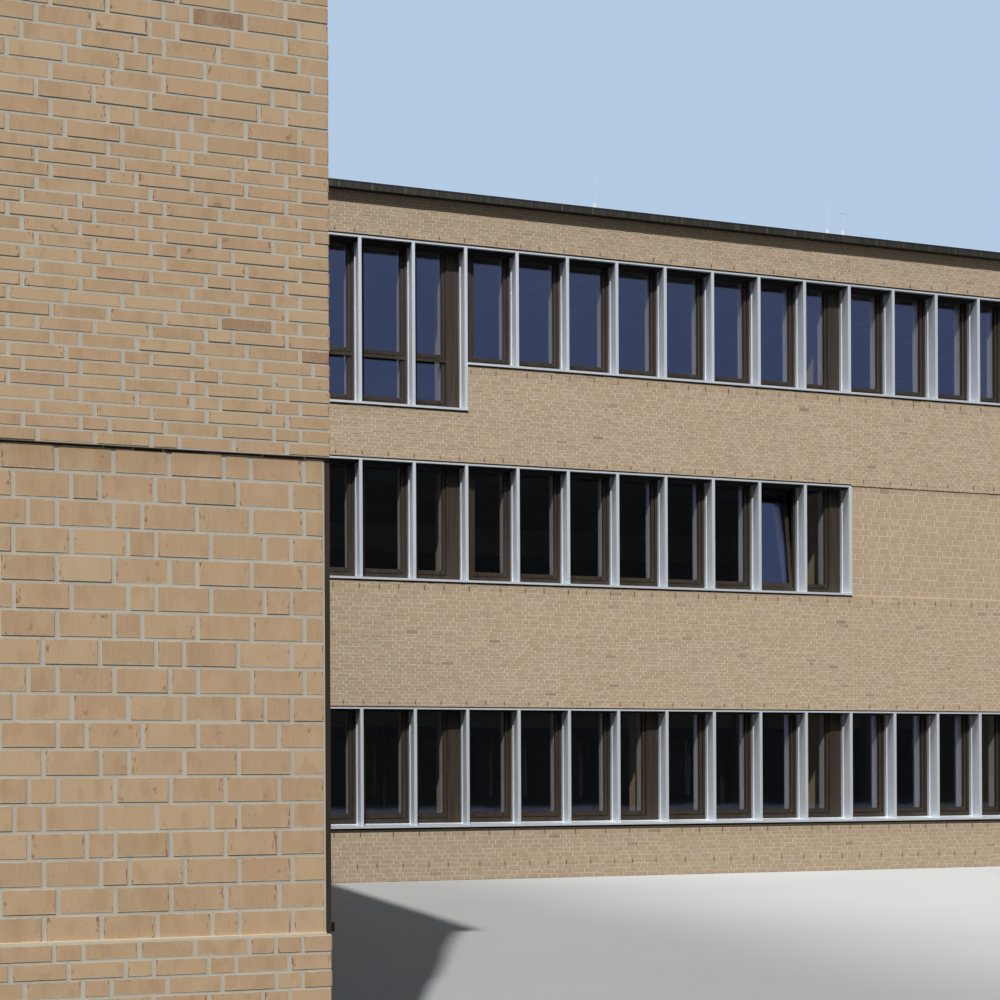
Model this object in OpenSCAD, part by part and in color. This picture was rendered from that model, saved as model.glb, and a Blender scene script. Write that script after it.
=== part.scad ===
/* [Plan] */
// Width of one window bay, from one fin to the next
bay_w = 1025; // [950:5:1075]
// Bays from the inner corner to the main block's right end
main_bays = 24; // [18:1:26]
// Bays from the inner corner forward to the wing's end
wing_bays = 21; // [12:1:22]
// Bays that the main block is deep
deep_bays = 12; // [8:1:12]
// Bays that the wing is wide
wing_wide_bays = 8; // [6:1:10]
// Bays of plain brick beside the inner corner
corner_bays = 1; // [1:1:2]

/* [Storeys] */
// Height of four thin, three normal or two tall brick courses
module_h = 250; // [230:5:260]
// Normal courses below the ground floor windows
base_courses = 12; // [11:1:13]
// Tall courses beside each band of windows
band_courses = 18; // [16:1:19]
// Thin courses over each band of windows
thin_courses = 22; // [20:1:24]
// Normal courses under the first floor windows
first_courses = 12; // [11:1:14]
// Normal courses under the second floor windows
second_courses = 6; // [6:1:8]
// Tall courses that the tall windows reach further down
drop_courses = 7; // [5:1:7]
// Thin courses under the roof edge
top_courses = 13; // [12:1:18]
// Normal courses that the wing stands higher
rise_courses = 3; // [2:1:6]

/* [Walls and floors] */
// Whole thickness of an outer wall
wall_t = 500; // [470:5:600]
// Thickness of the outer leaf of brick
leaf_t = 115; // [90:5:140]
// Depth of the recessed band between the windows
recess = 20; // [5:1:40]
// Thickness of an upper floor
floor_t = 300; // [200:10:400]
// Height of the windows' sill over the floor
sill_up = 875; // [700:5:900]
// Height of the ground floor over the ground
ground_up = 125; // [100:5:300]
// Thickness of the roof
roof_t = 400; // [250:10:500]
// Width of a square column
column_w = 300; // [200:10:330]

/* [Windows] */
// Bays of the first floor's window band
first_bays = 14; // [8:1:16]
// Bays of the tall windows
tall_bays = 6; // [3:1:10]
// Width of a fin and of the surround's face
fin_w = 60; // [40:5:80]
// Height of the surround's head rail
head_w = 30; // [20:5:60]
// Distance that the surround stands proud of the brick
proud = 8; // [4:1:20]
// Depth of a fin's broad side
fin_d = 262; // [180:2:280]
// Depth of the stepped liner behind the fin
liner_d = 80; // [60:5:90]
// Width of the liner's step
liner_step = 15; // [8:1:25]
// Reach of a sill's nose in front of the wall
nose = 40; // [15:1:60]
// Reach of the nose of the main block's ground floor sills
ground_nose = 80; // [40:1:100]
// Thickness of the sill's nose
nose_t = 40; // [20:1:40]
// Fall of the sill from back to front
sill_fall = 18; // [8:1:28]
// Width of the fixed frame that shows beside the liner
frame_w = 45; // [30:1:60]
// Height of the fixed frame that shows under the liner
frame_top = 5; // [3:1:40]
// Height of the fixed frame that shows over the sill
frame_foot = 85; // [60:1:100]
// Depth of the fixed window frame
frame_d = 30; // [20:1:40]
// Width of the sash's stiles
sash_w = 70; // [40:1:80]
// Height of the sash's top rail that shows under the fixed frame
sash_top = 10; // [5:1:60]
// Height of the sash's bottom rail
sash_rail = 90; // [60:1:110]
// Depth of the sash
sash_d = 50; // [30:1:60]
// Height of the transom in the tall windows
transom_h = 60; // [40:1:90]
// Width of the closed panel beside a column
panel_w = 215; // [200:5:260]
// Width of the closed strip on the panel's other side
strip_w = 110; // [40:5:160]
// Tilt of the sash that stands open, in degrees
sash_tilt = 7; // [2:1:10]
// Gap beside and over the open sash
sash_gap = 5; // [3:1:10]
// Thickness of the glass unit
glass_t = 30; // [20:1:40]
// Bays from one column to the next
column_bays = 4; // [3:1:6]

/* [Roof edge] */
// Height of the roof edge's face
edge_h = 120; // [100:5:180]
// Reach of the roof edge in front of the wall
edge_out = 190; // [120:5:260]
// Reach of the roof edge over the roof
edge_in = 350; // [200:5:400]
// Length of the roof edge's drip
drip = 18; // [8:1:30]
// Fall of the roof edge to the inside
edge_fall = 20; // [5:1:40]
// Height of a lightning rod over the roof edge
rod_up = 880; // [500:10:1100]
// Height of the short mast over the roof edge
mast_up = 700; // [400:10:900]
// Length of the crosspiece on the short mast
mast_head = 130; // [80:5:200]
// Radius of a lightning rod
rod_r = 8; // [6:1:12]
// Radius of a lightning rod's foot
rod_foot_r = 130; // [80:5:180]
// Height of a lightning rod's foot
rod_foot_h = 90; // [60:5:120]

/* [Hidden] */

// One overrun serves every cut
over = 10;

// Brick courses
thin_h = module_h / 4;
norm_h = module_h / 3;
tall_h = module_h / 2;

// Plan of the two blocks, from the inner corner
main_len = main_bays * bay_w + leaf_t;
main_d = deep_bays * bay_w + leaf_t;
wing_out = wing_bays * bay_w + leaf_t;
wing_w = wing_wide_bays * bay_w;
wing_len = wing_out + main_d;
mid_x = (main_len - wing_w) / 2;
mid_y = (main_d - wing_out) / 2;

// Levels of the main block, from the ground
band_h = band_courses * tall_h;
sill_0 = base_courses * norm_h;
head_0 = sill_0 + band_h;
sill_1 = head_0 + thin_courses * thin_h + first_courses * norm_h;
head_1 = sill_1 + band_h;
sill_2 = head_1 + thin_courses * thin_h + second_courses * norm_h;
head_2 = sill_2 + band_h;
tall_sill = sill_2 - drop_courses * tall_h;
wall_top = head_2 + top_courses * thin_h;
rise = rise_courses * norm_h;
sills = [sill_0, sill_1, sill_2];

// Floor levels of a block that stands up higher than the main one
function floor_tops(up) = [ground_up + up, sill_1 - sill_up + up, sill_2 - sill_up + up];
function ceilings(up) = [
    sill_1 - sill_up + up - floor_t, sill_2 - sill_up + up - floor_t, wall_top + up - roof_t
];

// Depths inside a band of windows, from the wall's face
frame_y = fin_d + liner_d;
sash_y = frame_y + frame_d;
glass_y = sash_y + sash_d;
band_d = glass_y + glass_t;

// Bronze that shows beside, under and over a window's hole: the fixed frame alone, then with the sash
frame_edges = [frame_w, frame_foot, frame_top];
sash_edges = frame_edges + [sash_w, sash_rail, sash_top];

// Bays of the front's bands: one closed by a strip on its left, and one with the open sash
strip_bay = tall_bays + 1;
open_bay = 13;

// Windows of each side, counted in bays
front_bays = main_bays - corner_bays;
wing_side_bays = wing_bays - corner_bays;
wing_left_bays = wing_bays + deep_bays;

// Bays of a band whose right side is closed in front of a column, counted from the band's start
function every_column(first, n) = [for (j = [first : column_bays : n]) j];
front_closed = every_column(column_bays - 1 - corner_bays, front_bays);
first_closed = [for (j = front_closed) if (j == tall_bays || j > open_bay) j];
second_closed = [for (j = front_closed) if (j != tall_bays + column_bays) j];
front_storeys = [front_closed, first_closed, second_closed];
side_closed = every_column(column_bays, wing_side_bays);
left_closed = every_column(column_bays, wing_left_bays);

// Rods and the mast stand at these shares of a bay from the inner corner
rod_bay_shares = [9.73, 14.77];
mast_bay_share = 15.12;
rod_back = edge_in + rod_foot_r;

brick = [0.76, 0.63, 0.49];
silver = [0.74, 0.77, 0.80];
bronze = [0.24, 0.21, 0.18];
pane = [0.16, 0.22, 0.26, 0.6];
concrete = [0.66, 0.65, 0.62];
membrane = [0.50, 0.51, 0.50];

// Places of the sides: each has its outer face at y = 0 and runs along +X
module at_corner() { translate([-mid_x, -mid_y, 0]) children(); }
module on_back() { at_corner() translate([main_len, main_d, 0]) rotate([0, 0, 180]) children(); }
module on_right() { at_corner() translate([main_len, 0, 0]) rotate([0, 0, 90]) children(); }
module on_wing_right() { at_corner() translate([0, -wing_out, 0]) rotate([0, 0, 90]) children(); }
module on_wing_left() { at_corner() translate([-wing_w, main_d, 0]) rotate([0, 0, -90]) children(); }
module on_wing_end() { at_corner() translate([-wing_w, -wing_out, 0]) children(); }
module on_wing_back() { at_corner() translate([0, main_d, 0]) rotate([0, 0, 180]) children(); }

// A section drawn in Y and Z, run along X
module run_along(length) {
    rotate([90, 0, 90]) linear_extrude(length) children();
}

// A block from one corner to the opposite one
module block(low, high) {
    translate(low) cube(high - low);
}

// Strips of brickwork under, between and over the bands of windows
module brick_bands(from, to, up) {
    block([from, 0, 0], [to, wall_t, sill_0 + up]);
    block([from, 0, head_0 + up], [to, wall_t, sill_1 + up]);
    block([from, 0, head_1 + up], [to, wall_t, sill_2 + up]);
    block([from, 0, head_2 + up], [to, wall_t, wall_top + up]);
}

// A blank stretch of a window band, set back from the strips
module blank_band(from, to, sill) {
    block([from, recess, sill], [to, wall_t, sill + band_h]);
}

// A windowless wall, with the set back bands and a rebate where a band of windows meets it
module end_wall(length, up, left_rebate, right_rebate) {
    difference() {
        block([0, 0, 0], [length, wall_t, wall_top + up]);
        for (sill = sills) {
            block([-over, -over, sill + up], [length + over, recess, sill + up + band_h]);
            if (left_rebate) {
                block([-over, -over, sill + up], [recess, wall_t + over, sill + up + band_h]);
                block([-over, leaf_t, sill + up], [band_d, wall_t + over, sill + up + band_h]);
            }
            if (right_rebate) {
                block(
                    [length - recess, -over, sill + up],
                    [length + over, wall_t + over, sill + up + band_h]
                );
                block(
                    [length - band_d, leaf_t, sill + up],
                    [length + over, wall_t + over, sill + up + band_h]
                );
            }
        }
    }
}

// Section of a fin: a narrow blade with the stepped liner behind it
module fin_section(left_step, right_step) {
    translate([-fin_w, -proud]) square([fin_w, frame_y + proud]);
    translate([-fin_w - left_step, fin_d])
        square([fin_w + left_step + right_step, liner_d]);
}

module fin(edge, low, high, left_step, right_step) {
    translate([edge, 0, low]) linear_extrude(high - low) fin_section(left_step, right_step);
}

// Section of the head rail, with its underside stepped like the fins
module head_section() {
    translate([-proud, -head_w]) square([frame_y + proud, head_w]);
    translate([fin_d, -head_w - liner_step]) square([liner_d, head_w + liner_step]);
}

// Section of the sill: it falls to the front and ends in a nose with a drip
module sill_section(reach) {
    polygon([
        [-reach, fin_w - sill_fall - nose_t],
        [-reach, fin_w - sill_fall],
        [fin_d, fin_w],
        [fin_d, fin_w + liner_step],
        [frame_y, fin_w + liner_step],
        [frame_y, 0],
        [0, 0],
        [0, fin_w - sill_fall - nose_t]
    ]);
}

// Surround and fins of one band; the first few bays may reach down to a lower sill
module band_fins(bays, sill, head, low_bays = 0, low_sill = 0, low_nose = nose) {
    reach = sill == sill_0 ? low_nose : nose;
    union() {
        translate([0, 0, head]) run_along(bays * bay_w) head_section();
        translate([low_bays * bay_w, 0, sill])
            run_along((bays - low_bays) * bay_w) sill_section(reach);
        if (low_bays > 0)
            translate([0, 0, low_sill]) run_along(low_bays * bay_w) sill_section(reach);
        fin(fin_w, low_bays > 0 ? low_sill : sill, head, 0, liner_step);
        for (j = [1 : bays])
            fin(
                j * bay_w,
                j <= low_bays ? low_sill : sill,
                head,
                liner_step,
                j < bays ? liner_step : 0
            );
    }
}

// Elevation of a whole band of windows
module band_outline(bays, sill, head, low_bays, low_sill) {
    translate([0, sill]) square([bays * bay_w, head - sill]);
    if (low_bays > 0)
        translate([0, low_sill]) square([low_bays * bay_w, head - low_sill]);
}

// Sides of the clear opening between two fins, less what closes it there
function clear_left(j, start, strip) =
    (j - 1) * bay_w + (j == 1 ? fin_w + start : 0) + (j == strip ? strip_w : 0);
function clear_right(j, closed, finish) =
    j * bay_w - fin_w - finish - (len(search(j, closed)) > 0 ? panel_w : 0);

// Elevation of a window's hole, from its foot to a level, smaller than its opening by the edges that show
module hole_up_to(high, left, right, foot, edges) {
    side = liner_step + edges[0];
    low = foot + fin_w + liner_step + edges[1];
    translate([left + side, low]) square([right - left - 2 * side, high - low]);
}

module window_hole(left, right, foot, head, edges) {
    hole_up_to(head - head_w - liner_step - edges[2], left, right, foot, edges);
}

// The lower light of a tall window reaches up to the transom
module lower_light(left, right, foot, sill, edges) {
    hole_up_to(sill + fin_w + liner_step + edges[1] - transom_h, left, right, foot, edges);
}

// Bronze frames of one band: a fixed frame in front, with the deeper sashes behind it
module band_sashes(
    bays, sill, head, closed, start = 0, finish = 0, low_bays = 0, low_sill = 0, strip = 0, open = 0
) {
    for (layer = [[frame_y, frame_d, frame_edges], [sash_y, sash_d, sash_edges]])
        translate([0, layer[0] + layer[1], 0]) rotate([90, 0, 0]) linear_extrude(layer[1])
            difference() {
                band_outline(bays, sill, head, low_bays, low_sill);
                for (j = [1 : bays]) {
                    left = clear_left(j, start, strip);
                    right = clear_right(j, closed, j == bays ? finish : 0);
                    edges = j == open ? frame_edges : layer[2];
                    window_hole(left, right, sill, head, edges);
                    if (j <= low_bays)
                        lower_light(left, right, low_sill, sill, edges);
                }
            }
}

// One sheet of glass behind the frames of a band
module band_glass(bays, sill, head, low_bays = 0, low_sill = 0, open = 0) {
    translate([0, band_d, 0]) rotate([90, 0, 0]) linear_extrude(glass_t)
        difference() {
            band_outline(bays, sill, head, low_bays, low_sill);
            if (open > 0)
                window_hole(clear_left(open, 0, 0), clear_right(open, [], 0), sill, head, frame_edges);
        }
}

// The open sash leans inwards about its bottom edge, inside the hole that the frames leave
module leaning(sill) {
    low = sill + fin_w + liner_step + frame_foot;
    left = clear_left(open_bay, 0, 0) + liner_step + frame_w + sash_gap;
    translate([left, glass_y, low]) rotate([-sash_tilt, 0, 0]) children();
}
open_w = bay_w - fin_w - 2 * (liner_step + frame_w + sash_gap);
open_h = band_h - fin_w - head_w - 2 * liner_step - frame_foot - frame_top - sash_gap;

// Columns of one side's storey, behind the closed panels
module storey_columns(closed, storey, up) {
    low = floor_tops(up)[storey];
    high = ceilings(up)[storey];
    for (j = closed)
        translate([j * bay_w - fin_w - panel_w / 2 - column_w / 2, wall_t, low])
            cube([column_w, column_w, high - low]);
}

module side_columns(closed, up) {
    for (storey = [0 : len(sills) - 1]) storey_columns(closed, storey, up);
}

// Section of the metal roof edge: a box that falls inwards, with a drip at its front
module edge_section() {
    polygon([
        [-edge_out, -drip],
        [-edge_out, edge_h],
        [edge_in, edge_h - edge_fall],
        [edge_in, 0],
        [-edge_out + drip, 0],
        [-edge_out + drip, -drip]
    ]);
}

module roof_edge(from, to, up) {
    color(bronze) translate([from, 0, wall_top + up]) run_along(to - from) edge_section();
}

// Inner corners of a block's floors
main_low = [0, wall_t];
main_high = [main_len - wall_t, main_d - wall_t];
wing_low = [-wing_w + wall_t, -wing_out + wall_t];
wing_high = [-wall_t, main_d - wall_t];

module slab(low, high, bottom, top) {
    at_corner() block([low.x, low.y, bottom], [high.x, high.y, top]);
}

module front_brick_bands() {
    color(brick) at_corner() {
        block([0, 0, 0], [main_len - wall_t, wall_t, sill_0]);
        block([0, 0, head_0], [main_len - wall_t, wall_t, sill_1]);
        difference() {
            block([0, 0, head_1], [main_len - wall_t, wall_t, sill_2]);
            block(
                [corner_bays * bay_w, -over, tall_sill],
                [(corner_bays + tall_bays) * bay_w, wall_t + over, sill_2 + over]
            );
        }
        block([0, 0, head_2], [main_len - wall_t, wall_t, wall_top]);
    }
}

module front_brick_panels() {
    color(brick) at_corner() {
        for (sill = sills) blank_band(0, corner_bays * bay_w, sill);
        blank_band((corner_bays + first_bays) * bay_w, main_len - wall_t, sill_1);
    }
}

module front_window_fins() {
    color(silver) at_corner() translate([corner_bays * bay_w, 0, 0]) {
        band_fins(front_bays, sill_0, head_0, low_nose = ground_nose);
        band_fins(first_bays, sill_1, head_1);
        band_fins(front_bays, sill_2, head_2, tall_bays, tall_sill);
    }
}

module front_window_sashes() {
    corner = wall_t - leaf_t - fin_w;
    color(bronze) at_corner() translate([corner_bays * bay_w, 0, 0]) {
        band_sashes(front_bays, sill_0, head_0, front_closed, 0, corner);
        band_sashes(
            first_bays, sill_1, head_1, first_closed, strip = strip_bay, open = open_bay
        );
        band_sashes(
            front_bays, sill_2, head_2, second_closed, 0, corner,
            tall_bays, tall_sill, strip = strip_bay
        );
    }
}

module front_window_glass() {
    color(pane) at_corner() translate([corner_bays * bay_w, 0, 0]) {
        band_glass(front_bays, sill_0, head_0);
        band_glass(first_bays, sill_1, head_1, open = open_bay);
        band_glass(front_bays, sill_2, head_2, tall_bays, tall_sill);
    }
}

module open_window_sash() {
    color(bronze) at_corner() translate([corner_bays * bay_w, 0, 0]) leaning(sill_1)
        rotate([90, 0, 0]) linear_extrude(sash_d)
            difference() {
                square([open_w, open_h]);
                translate([sash_w, sash_rail])
                    square([open_w - 2 * sash_w, open_h - sash_rail - sash_w]);
            }
}

module open_window_glass() {
    color(pane) at_corner() translate([corner_bays * bay_w, 0, 0]) leaning(sill_1)
        block([sash_w / 2, 0, sash_rail / 2], [open_w - sash_w / 2, glass_t, open_h - sash_w / 2]);
}

module front_columns() {
    color(concrete) at_corner() translate([corner_bays * bay_w, 0, 0])
        for (storey = [0 : len(front_storeys) - 1])
            storey_columns(front_storeys[storey], storey, 0);
}

module back_brick_bands() {
    color(brick) on_back() brick_bands(wall_t, main_len, 0);
}

module back_brick_panels() {
    color(brick) on_back()
        for (sill = sills) blank_band(main_len - corner_bays * bay_w, main_len, sill);
}

module back_window_fins() {
    color(silver) on_back() translate([leaf_t, 0, 0])
        for (sill = sills) band_fins(front_bays, sill, sill + band_h, low_nose = ground_nose);
}

module back_window_sashes() {
    color(bronze) on_back() translate([leaf_t, 0, 0])
        for (sill = sills)
            band_sashes(front_bays, sill, sill + band_h, front_closed, wall_t - leaf_t - fin_w);
}

module back_window_glass() {
    color(pane) on_back() translate([leaf_t, 0, 0])
        for (sill = sills) band_glass(front_bays, sill, sill + band_h);
}

module back_columns() {
    color(concrete) on_back() translate([leaf_t, 0, 0]) side_columns(front_closed, 0);
}

module right_end_wall() {
    color(brick) on_right() end_wall(main_d, 0, true, true);
}

module main_ground_floor() {
    color(concrete) slab(main_low, main_high, 0, floor_tops(0)[0]);
}

module main_first_floor() {
    color(concrete) slab(main_low, main_high, ceilings(0)[0], floor_tops(0)[1]);
}

module main_second_floor() {
    color(concrete) slab(main_low, main_high, ceilings(0)[1], floor_tops(0)[2]);
}

module main_roof() {
    color(membrane) slab(main_low, main_high, ceilings(0)[2], wall_top);
}

module front_roof_edge() {
    at_corner() roof_edge(0, main_len + edge_out, 0);
}

module back_roof_edge() {
    on_back() roof_edge(-edge_out, main_len, 0);
}

module right_roof_edge() {
    on_right() roof_edge(edge_in, main_d - edge_in, 0);
}

// A rod on its round foot, a share of the bays along
module roof_rod(share, height) {
    translate([share * bay_w, rod_back, wall_top]) {
        cylinder(h = rod_foot_h, r = rod_foot_r, $fn = 32);
        cylinder(h = height, r = rod_r, $fn = 16);
    }
}

module lightning_rods() {
    color(silver) at_corner() {
        for (share = rod_bay_shares) roof_rod(share, edge_h + rod_up);
        roof_rod(mast_bay_share, edge_h + mast_up);
        translate([mast_bay_share * bay_w - mast_head / 2, rod_back, wall_top + edge_h + mast_up])
            rotate([0, 90, 0]) cylinder(h = mast_head, r = rod_r, $fn = 16);
    }
}

module wing_end_wall() {
    color(brick) on_wing_end() end_wall(wing_w, rise, true, true);
}

module wing_back_wall() {
    color(brick) on_wing_back() end_wall(wing_w, rise, false, true);
}

module party_wall() {
    color(brick) at_corner()
        block([-wall_t, 0, 0], [0, main_d - wall_t, wall_top + rise]);
}

module wing_right_bands() {
    color(brick) on_wing_right() brick_bands(wall_t, wing_out, rise);
}

module wing_right_panels() {
    color(brick) on_wing_right()
        for (sill = sills)
            blank_band(wing_out - corner_bays * bay_w, wing_out, sill + rise);
}

module wing_right_fins() {
    color(silver) on_wing_right() translate([leaf_t, 0, rise])
        for (sill = sills) band_fins(wing_side_bays, sill, sill + band_h);
}

module wing_right_sashes() {
    color(bronze) on_wing_right() translate([leaf_t, 0, rise])
        for (sill = sills)
            band_sashes(wing_side_bays, sill, sill + band_h, side_closed, wall_t - leaf_t - fin_w);
}

module wing_right_glass() {
    color(pane) on_wing_right() translate([leaf_t, 0, rise])
        for (sill = sills) band_glass(wing_side_bays, sill, sill + band_h);
}

module wing_right_columns() {
    color(concrete) on_wing_right() translate([leaf_t, 0, 0]) side_columns(side_closed, rise);
}

module wing_left_bands() {
    color(brick) on_wing_left() brick_bands(wall_t, wing_len - wall_t, rise);
}

module wing_left_fins() {
    color(silver) on_wing_left() translate([leaf_t, 0, rise])
        for (sill = sills) band_fins(wing_left_bays, sill, sill + band_h);
}

module wing_left_sashes() {
    corner = wall_t - leaf_t - fin_w;
    color(bronze) on_wing_left() translate([leaf_t, 0, rise])
        for (sill = sills)
            band_sashes(wing_left_bays, sill, sill + band_h, left_closed, corner, corner);
}

module wing_left_glass() {
    color(pane) on_wing_left() translate([leaf_t, 0, rise])
        for (sill = sills) band_glass(wing_left_bays, sill, sill + band_h);
}

module wing_left_columns() {
    color(concrete) on_wing_left() translate([leaf_t, 0, 0]) side_columns(left_closed, rise);
}

module wing_ground_floor() {
    color(concrete) slab(wing_low, wing_high, 0, floor_tops(rise)[0]);
}

module wing_first_floor() {
    color(concrete) slab(wing_low, wing_high, ceilings(rise)[0], floor_tops(rise)[1]);
}

module wing_second_floor() {
    color(concrete) slab(wing_low, wing_high, ceilings(rise)[1], floor_tops(rise)[2]);
}

module wing_roof() {
    color(membrane) slab(wing_low, wing_high, ceilings(rise)[2], wall_top + rise);
}

module wing_end_roof_edge() {
    on_wing_end() roof_edge(edge_in, wing_w - edge_in, rise);
}

module wing_back_roof_edge() {
    on_wing_back() roof_edge(edge_in, wing_w - edge_in, rise);
}

module wing_left_roof_edge() {
    on_wing_left() roof_edge(-edge_out, wing_len + edge_out, rise);
}

module wing_right_roof_edge() {
    on_wing_right() roof_edge(-edge_out, wing_len + edge_out, rise);
}

front_brick_bands();
front_brick_panels();
front_window_fins();
front_window_sashes();
front_window_glass();
open_window_sash();
open_window_glass();
front_columns();
back_brick_bands();
back_brick_panels();
back_window_fins();
back_window_sashes();
back_window_glass();
back_columns();
right_end_wall();
main_ground_floor();
main_first_floor();
main_second_floor();
main_roof();
front_roof_edge();
back_roof_edge();
right_roof_edge();
lightning_rods();
wing_end_wall();
wing_back_wall();
party_wall();
wing_right_bands();
wing_right_panels();
wing_right_fins();
wing_right_sashes();
wing_right_glass();
wing_right_columns();
wing_left_bands();
wing_left_fins();
wing_left_sashes();
wing_left_glass();
wing_left_columns();
wing_ground_floor();
wing_first_floor();
wing_second_floor();
wing_roof();
wing_end_roof_edge();
wing_back_roof_edge();
wing_left_roof_edge();
wing_right_roof_edge();
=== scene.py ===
# %% [markdown]
# A school building in pale brick, dressed on its solid frame.
# The frame holds walls with their window bands cut through, floors, roofs and metal edges, all at true size in metres.
# This lesson gives each of them its real finish, and adds what is too small for the frame: single bricks, glazing
# beads, seals, clips and seams. Nothing here moves or reshapes a solid of the frame.

# %% Load the frame
import math
import random
import bmesh
import bpy
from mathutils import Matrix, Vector


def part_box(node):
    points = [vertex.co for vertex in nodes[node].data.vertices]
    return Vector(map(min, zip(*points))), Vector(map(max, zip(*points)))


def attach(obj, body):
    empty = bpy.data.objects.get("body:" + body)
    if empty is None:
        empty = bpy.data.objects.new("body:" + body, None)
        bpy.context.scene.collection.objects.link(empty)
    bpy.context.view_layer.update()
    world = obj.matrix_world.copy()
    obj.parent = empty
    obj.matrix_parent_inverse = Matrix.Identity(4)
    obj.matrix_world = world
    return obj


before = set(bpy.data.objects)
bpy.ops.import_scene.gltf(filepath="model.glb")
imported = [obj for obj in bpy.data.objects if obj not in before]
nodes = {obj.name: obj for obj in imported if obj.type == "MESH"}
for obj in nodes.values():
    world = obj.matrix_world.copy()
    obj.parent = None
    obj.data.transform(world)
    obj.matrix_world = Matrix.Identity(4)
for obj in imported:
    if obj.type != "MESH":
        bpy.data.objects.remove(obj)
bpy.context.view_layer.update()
bpy.ops.object.select_all(action="DESELECT")

# %% [markdown]
# Every brick and bead is placed from the same few sizes, so they are measured once from the frame.
# The inner corner, where the wing meets the main block, is the point that everything is counted from.
# X runs along the main front, and the wing comes forward from it to the left of that corner.

# %% Measure the building
inner_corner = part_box("front_brick_bands")[0]
main_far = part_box("right_end_wall")[1]
wing_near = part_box("wing_end_wall")[0]
main_long = main_far.x - inner_corner.x
main_deep = main_far.y - inner_corner.y
wing_out = inner_corner.y - wing_near.y
wing_wide = inner_corner.x - wing_near.x
wing_long = wing_out + main_deep
main_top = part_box("front_brick_bands")[1].z
wing_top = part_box("party_wall")[1].z
rise = wing_top - main_top
bay = 1.025
leaf = 0.115
recess = 0.02
print("main block", round(main_long, 3), "x", round(main_deep, 3))
print("wing", round(wing_wide, 3), "x", round(wing_long, 3))

# %% [markdown]
# A wall is easiest to fill when it is drawn flat: x along it, y into it, z up, with its outer face at y = 0.
# So each side of the building is kept as the point where it starts, how far it is turned, its length, and how much
# higher its rows of windows stand than those of the main block.

# %% The sides of the building
sides = {
    "main_front": (0.0, 0.0, 0, main_long, 0.0),
    "main_back": (main_long, main_deep, 180, main_long, 0.0),
    "main_right": (main_long, 0.0, 90, main_deep, 0.0),
    "wing_end": (-wing_wide, -wing_out, 0, wing_wide, rise),
    "wing_back": (0.0, main_deep, 180, wing_wide, rise),
    "wing_right": (0.0, -wing_out, 90, wing_out, rise),
    "wing_left": (-wing_wide, main_deep, -90, wing_long, rise),
}
print(len(sides), "sides,", round(sum(side[3] for side in sides.values()), 3), "metres of wall")


def on_side(side, x, y, z):
    """The place in the building of a point drawn flat on one of its sides."""
    start_x, start_y, turn = sides[side][:3]
    a = math.radians(turn)
    return Vector((
        inner_corner.x + start_x + x * math.cos(a) - y * math.sin(a),
        inner_corner.y + start_y + x * math.sin(a) + y * math.cos(a),
        z,
    ))


# %% [markdown]
# The facade is made of rows. Three brick heights are used: thin, normal and tall, and they change from row to row.
# Four thin, three normal or two tall courses are all 25 cm high, so every row ends on a full course.

# %% The rows of the facade
module = 0.25
thin, normal, tall = module / 4, module / 3, module / 2
sills = (1.0, 5.625, 9.75)
band_high = 18 * tall
heads = tuple(sill + band_high for sill in sills)
tall_sill = sills[2] - 7 * tall
thin_high = 22 * thin


def rows(up):
    """Lowest and highest level of each row, its course height, and whether it is a set back window row."""
    return [
        (0.0, sills[0] + up, normal, False),
        (sills[0] + up, heads[0] + up, tall, True),
        (heads[0] + up, heads[0] + up + thin_high, thin, False),
        (heads[0] + up + thin_high, sills[1] + up, normal, False),
        (sills[1] + up, heads[1] + up, tall, True),
        (heads[1] + up, heads[1] + up + thin_high, thin, False),
        (heads[1] + up + thin_high, sills[2] + up, normal, False),
        (sills[2] + up, heads[2] + up, tall, True),
        (heads[2] + up, main_top + up, thin, False),
    ]


for low, high, course, is_band in rows(0.0):
    print("row", round(low, 3), "to", round(high, 3), "has", round((high - low) / course), "courses")

# %% [markdown]
# The window bands are listed once, and are used twice: the bricks leave them free, and the beads and seals go in them.
# Each has its side, where it starts, how many bays it has, its levels, the bays that are closed in front of a
# column, and how far the corner posts reach in at its ends. On the main front one bay is made narrower by a closed
# strip, one window stands open, and the first six of the top row are tall windows that reach lower.

# %% The window bands
corner_post = 0.325
panel = 0.215
strip = 0.11
tall_windows = 6
columns_front = {2, 6, 10, 14, 18, 22}
columns_side = set(range(4, 21, 4))
columns_left = set(range(4, 34, 4))


def band(side, start, bays, storey, closed, left_post=0.0, right_post=0.0, strip_bay=0, open_bay=0, low_bays=0):
    """One row of windows on a side, with its levels and the bays that are unlike the others."""
    up = sides[side][4]
    return {
        "side": side, "start": start, "bays": bays, "sill": sills[storey] + up, "head": heads[storey] + up,
        "closed": closed, "left_post": left_post, "right_post": right_post, "strip_bay": strip_bay,
        "open_bay": open_bay, "low_bays": low_bays,
    }


bands = [
    band("main_front", bay, 23, 0, columns_front, right_post=corner_post),
    band("main_front", bay, 14, 1, {6, 14}, strip_bay=7, open_bay=13),
    band("main_front", bay, 23, 2, columns_front - {10}, right_post=corner_post, strip_bay=7, low_bays=tall_windows),
]
for storey in range(3):
    bands.append(band("main_back", leaf, 23, storey, columns_front, left_post=corner_post))
    bands.append(band("wing_right", leaf, 20, storey, columns_side, left_post=corner_post))
    bands.append(band("wing_left", leaf, 33, storey, columns_left, left_post=corner_post, right_post=corner_post))
print(len(bands), "bands with", sum(b["bays"] for b in bands), "windows")

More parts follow.
